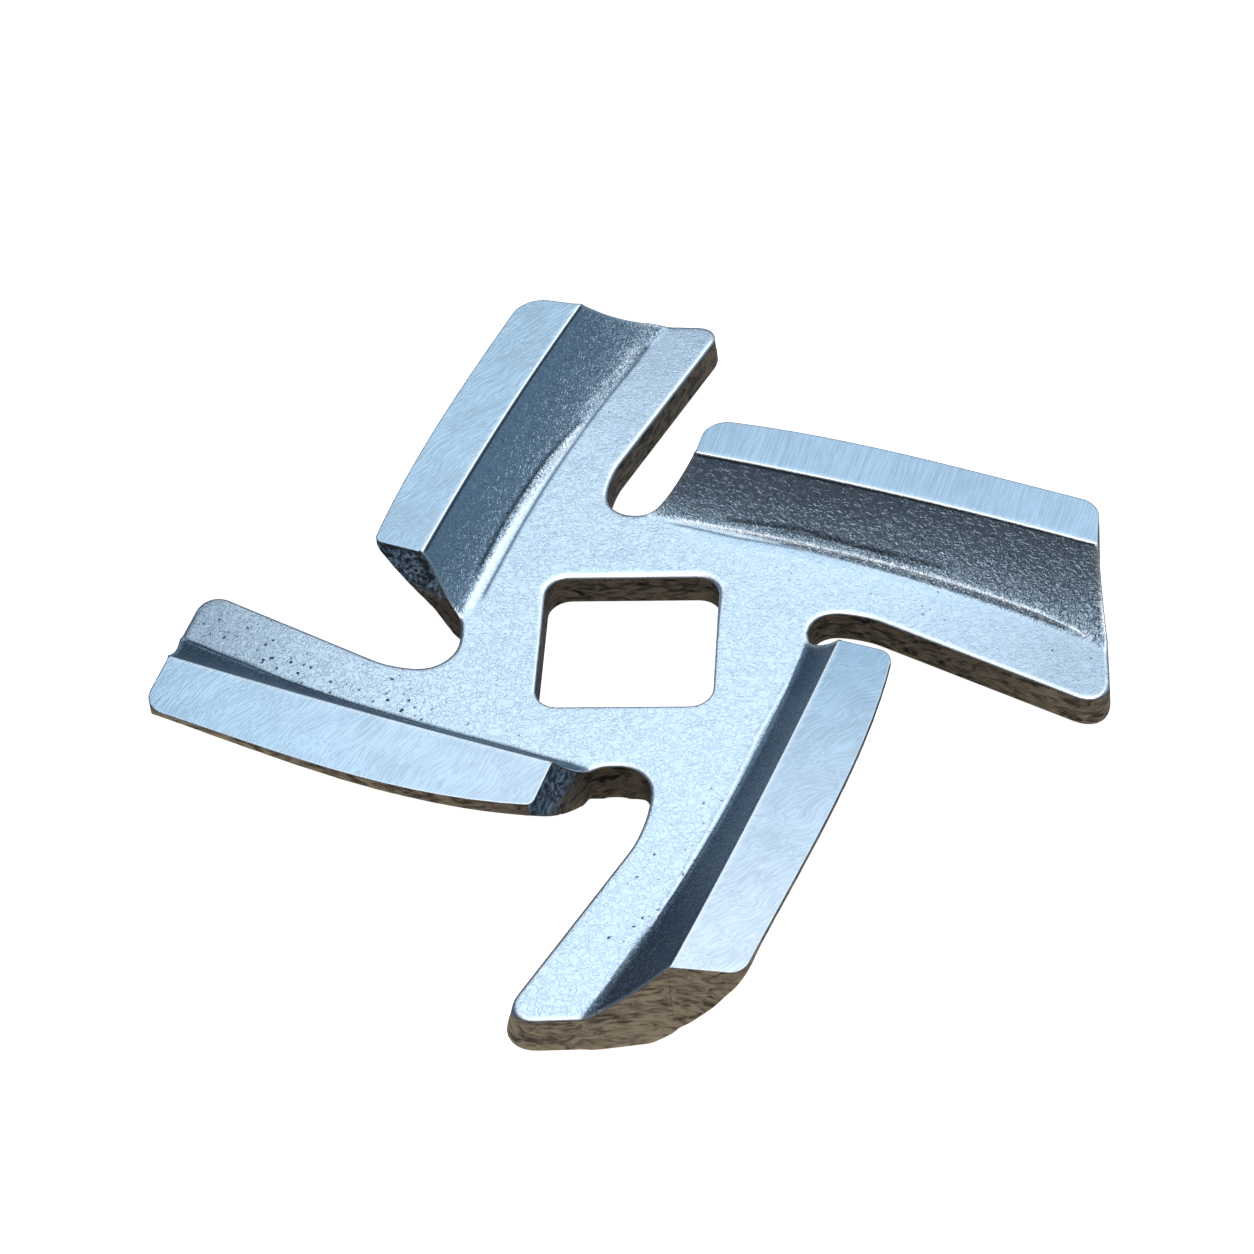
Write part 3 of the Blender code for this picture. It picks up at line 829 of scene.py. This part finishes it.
out_of_shade = add(tree, "ShaderNodeMapRange", {"Value": from_shade_centre, "From Min": SHADE_TO,
                                           "From Max": SHADE_GONE_FROM, "To Min": 0.0,
                                           "To Max": 1.0}).outputs["Result"]
# Painted shade: the walls near the hole get the darker browns
shaded_brown = add(tree, "ShaderNodeMix", {"Factor": mottle, "A": linear("120e0a"), "B": linear("6a5b46")},
            data_type="RGBA").outputs["Result"]
outer = add(tree, "ShaderNodeMix", {"Factor": mottle, "A": linear("5a4d3c"), "B": linear("b09b7e")},
            data_type="RGBA").outputs["Result"]
brown = add(tree, "ShaderNodeMix", {"Factor": out_of_shade, "A": shaded_brown, "B": outer},
            data_type="RGBA").outputs["Result"]
glint_noise = add(tree, "ShaderNodeTexNoise", {"Vector": place_on, "Scale": 1 / GLINT_SIZE, "Detail": 3.0,
                                           "Distortion": 1.0}).outputs["Fac"]
glint_specks = add(tree, "ShaderNodeMapRange", {"Value": glint_noise, "From Min": 0.45, "From Max": 0.66,
                                          "To Min": 0.0, "To Max": 1.0}).outputs["Result"]
# Painted reflection: bluish glints on the upper part of the heel walls
glinting = add(tree, "ShaderNodeMix", {"Factor": glint_specks, "A": linear("2a3948"), "B": linear("9cb8d2")},
              data_type="RGBA").outputs["Result"]
wall = add(tree, "ShaderNodeMix", {"Factor": heel_glint_paint, "A": brown, "B": glinting}, data_type="RGBA")
rough = add(tree, "ShaderNodeBump", {"Height": streaks, "Strength": 0.6, "Distance": STREAK_DEPTH})
tree.links.new(wall.outputs["Result"], shader.inputs["Base Color"])
tree.links.new(rough.outputs["Normal"], shader.inputs["Normal"])
shader.inputs["Metallic"].default_value = 0.15
shader.inputs["Roughness"].default_value = 0.55
mesh.materials.append(scale)

# Ground lands
# Each land is ground flat on a wheel and deburred by hand, so it shines evenly with fine strokes that
# run their own way on each arm, and its edges carry a thin painted highlight, white.
# Real strokes are some 0.02 mm wide, and are drawn three to five times as wide, to show.
STROKE = 0.1 * MM
STROKE_SWEEP = 3.5 * MM
LAND_WEAR = 2.2 * MM


def ground_steel(name, heel_tone, toe_tone, stroke_angle, stroke_run, curl, depth):
    """Ground steel between two tones, its strokes at this angle from +X and so many widths long.

    curl is how far the strokes bend, and depth how deep they are, both in millimetres.
    """
    material = bpy.data.materials.new("ground_steel_" + name)
    material.use_nodes = True
    tree = material.node_tree
    shader = tree.nodes["Principled BSDF"]
    place_on = add(tree, "ShaderNodeTexCoord", {}).outputs["Object"]
    along = add(tree, "ShaderNodeAttribute", {}, attribute_name="along_arm").outputs["Fac"]
    land_highlight = add(tree, "ShaderNodeAttribute", {}, attribute_name="painted_highlight").outputs["Fac"]
    sweep = add(tree, "ShaderNodeTexNoise", {"Vector": place_on, "Scale": 1 / STROKE_SWEEP,
                                             "Detail": 1.0}).outputs["Color"]
    bend = add(tree, "ShaderNodeVectorMath", {0: sweep, "Scale": curl * MM}, operation="SCALE")
    bent = add(tree, "ShaderNodeVectorMath", {0: place_on, 1: bend.outputs["Vector"]},
               operation="ADD").outputs["Vector"]
    turned = add(tree, "ShaderNodeMapping",
                 {"Vector": bent, "Rotation": (0.0, 0.0, radians(stroke_angle)),
                  "Scale": (stroke_run, 1.0, 1.0)}, vector_type="TEXTURE").outputs["Vector"]
    strokes = add(tree, "ShaderNodeTexNoise", {"Vector": turned, "Scale": 1 / STROKE, "Detail": 2.0,
                                               "Roughness": 0.5}).outputs["Fac"]
    worn = add(tree, "ShaderNodeTexNoise", {"Vector": bent, "Scale": 1 / LAND_WEAR,
                                            "Detail": 3.0}).outputs["Fac"]
    both = add(tree, "ShaderNodeMath", {0: strokes, 1: 2.0, 2: worn}, operation="MULTIPLY_ADD").outputs[0]
    shade = add(tree, "ShaderNodeMapRange", {"Value": both, "From Min": 1.15, "From Max": 1.85,
                                             "To Min": 0.87, "To Max": 1.12}).outputs["Result"]
    tone = add(tree, "ShaderNodeMix", {"Factor": along, "A": linear(heel_tone), "B": linear(toe_tone)},
               data_type="RGBA").outputs["Result"]
    lit = add(tree, "ShaderNodeVectorMath", {0: tone, "Scale": shade}, operation="SCALE").outputs["Vector"]
    # Painted highlight, white, along the land's back edge and its walls
    edge_highlighted = add(tree, "ShaderNodeMix", {"Factor": land_highlight, "A": lit, "B": linear("ffffff")}, data_type="RGBA")
    cut = add(tree, "ShaderNodeBump", {"Height": strokes, "Strength": 1.0, "Distance": depth * MM})
    tree.links.new(edge_highlighted.outputs["Result"], shader.inputs["Base Color"])
    tree.links.new(cut.outputs["Normal"], shader.inputs["Normal"])
    shader.inputs["Metallic"].default_value = 1.0
    shader.inputs["Roughness"].default_value = 0.26
    mesh.materials.append(material)


ground_steel("back", "a7bed0", "b3ccdd", 50.0, 14.0, 1.6, 0.010)
ground_steel("right", "a5bdd0", "a5bdd0", 76.0, 32.0, 0.3, 0.010)
ground_steel("front", "93acc0", "cad5df", 35.0, 16.0, 2.4, 0.007)
ground_steel("left", "bacbda", "b0cadd", 56.0, 18.0, 1.4, 0.010)

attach(knife, "root")
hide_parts("grinder_knife")

# Table
# A plain table top of white paper. The steel doesn't mirror it, so that the walls and the slopes,
# which look down on it or across it, stay as dark as the room.
TABLE_HALF = 1.5
table_mesh = bpy.data.meshes.new("table")
table_shape = bmesh.new()
bmesh.ops.create_grid(table_shape, x_segments=1, y_segments=1, size=TABLE_HALF)
table_shape.to_mesh(table_mesh)
table_shape.free()
table = bpy.data.objects.new("table", table_mesh)
bpy.context.scene.collection.objects.link(table)
paper = bpy.data.materials.new("white_paper")
paper.use_nodes = True
shader = paper.node_tree.nodes["Principled BSDF"]
shader.inputs["Base Color"].default_value = (0.8, 0.8, 0.8, 1.0)
shader.inputs["Emission Color"].default_value = (1.0, 1.0, 1.0, 1.0)
shader.inputs["Emission Strength"].default_value = 0.97
table_mesh.materials.append(paper)
table.visible_glossy = False

# Light
# A large soft box behind the knife, a second one overhead and a weak warm one in front, in a dim room,
# so that the flat faces that look up shine and the slopes that look aside stay dark.
AIM = Vector((0.0, 0.0, 0.0))
bpy.context.scene.view_settings.view_transform = "Standard"


def soft_box(name, location, size, power, colour):
    """A soft box of this size that looks from its place at the knife."""
    light = bpy.data.lights.new(name, "AREA")
    light.shape = "RECTANGLE"
    light.size, light.size_y = size
    light.energy = power
    light.color = colour
    lamp = bpy.data.objects.new(name, light)
    lamp.location = location
    lamp.rotation_euler = (AIM - Vector(location)).to_track_quat("-Z", "Y").to_euler()
    bpy.context.scene.collection.objects.link(lamp)


soft_box("back_soft_box", (0.03, 0.22, 0.385), (0.42, 0.35), 0.60, (0.93, 0.97, 1.0))
soft_box("top_soft_box", (0.0, -0.065, 0.45), (0.35, 0.22), 0.34, (0.95, 0.98, 1.0))
soft_box("front_fill", (0.05, -0.42, 0.30), (0.6, 0.4), 0.06, (1.0, 0.82, 0.66))

# The room is lighter on the right than on the left, and darkest low behind the viewer
room = bpy.data.worlds.new("room")
room.use_nodes = True
tree = room.node_tree
towards = add(tree, "ShaderNodeTexCoord", {}).outputs["Generated"]
ways = add(tree, "ShaderNodeSeparateXYZ", {"Vector": towards})
right = add(tree, "ShaderNodeMapRange", {"Value": ways.outputs["X"], "From Min": -0.8, "From Max": 0.8,
                                         "To Min": 0.0, "To Max": 1.0}).outputs["Result"]
back = add(tree, "ShaderNodeMapRange", {"Value": ways.outputs["Y"], "From Min": -0.4, "From Max": 0.5,
                                        "To Min": 0.0, "To Max": 1.0}).outputs["Result"]
high = add(tree, "ShaderNodeMapRange", {"Value": ways.outputs["Z"], "From Min": 0.3, "From Max": 0.9,
                                        "To Min": 0.0, "To Max": 1.0}).outputs["Result"]
walls = add(tree, "ShaderNodeMix", {"Factor": right, "A": (0.055, 0.095, 0.145, 1.0),
                                    "B": (0.16, 0.25, 0.34, 1.0)}, data_type="RGBA").outputs["Result"]
viewer = add(tree, "ShaderNodeMix", {"Factor": high, "A": (0.045, 0.05, 0.058, 1.0),
                                     "B": (0.13, 0.16, 0.20, 1.0)}, data_type="RGBA").outputs["Result"]
around = add(tree, "ShaderNodeMix", {"Factor": back, "A": viewer, "B": walls}, data_type="RGBA")
tree.links.new(around.outputs["Result"], tree.nodes["Background"].inputs["Color"])
bpy.context.scene.world = room
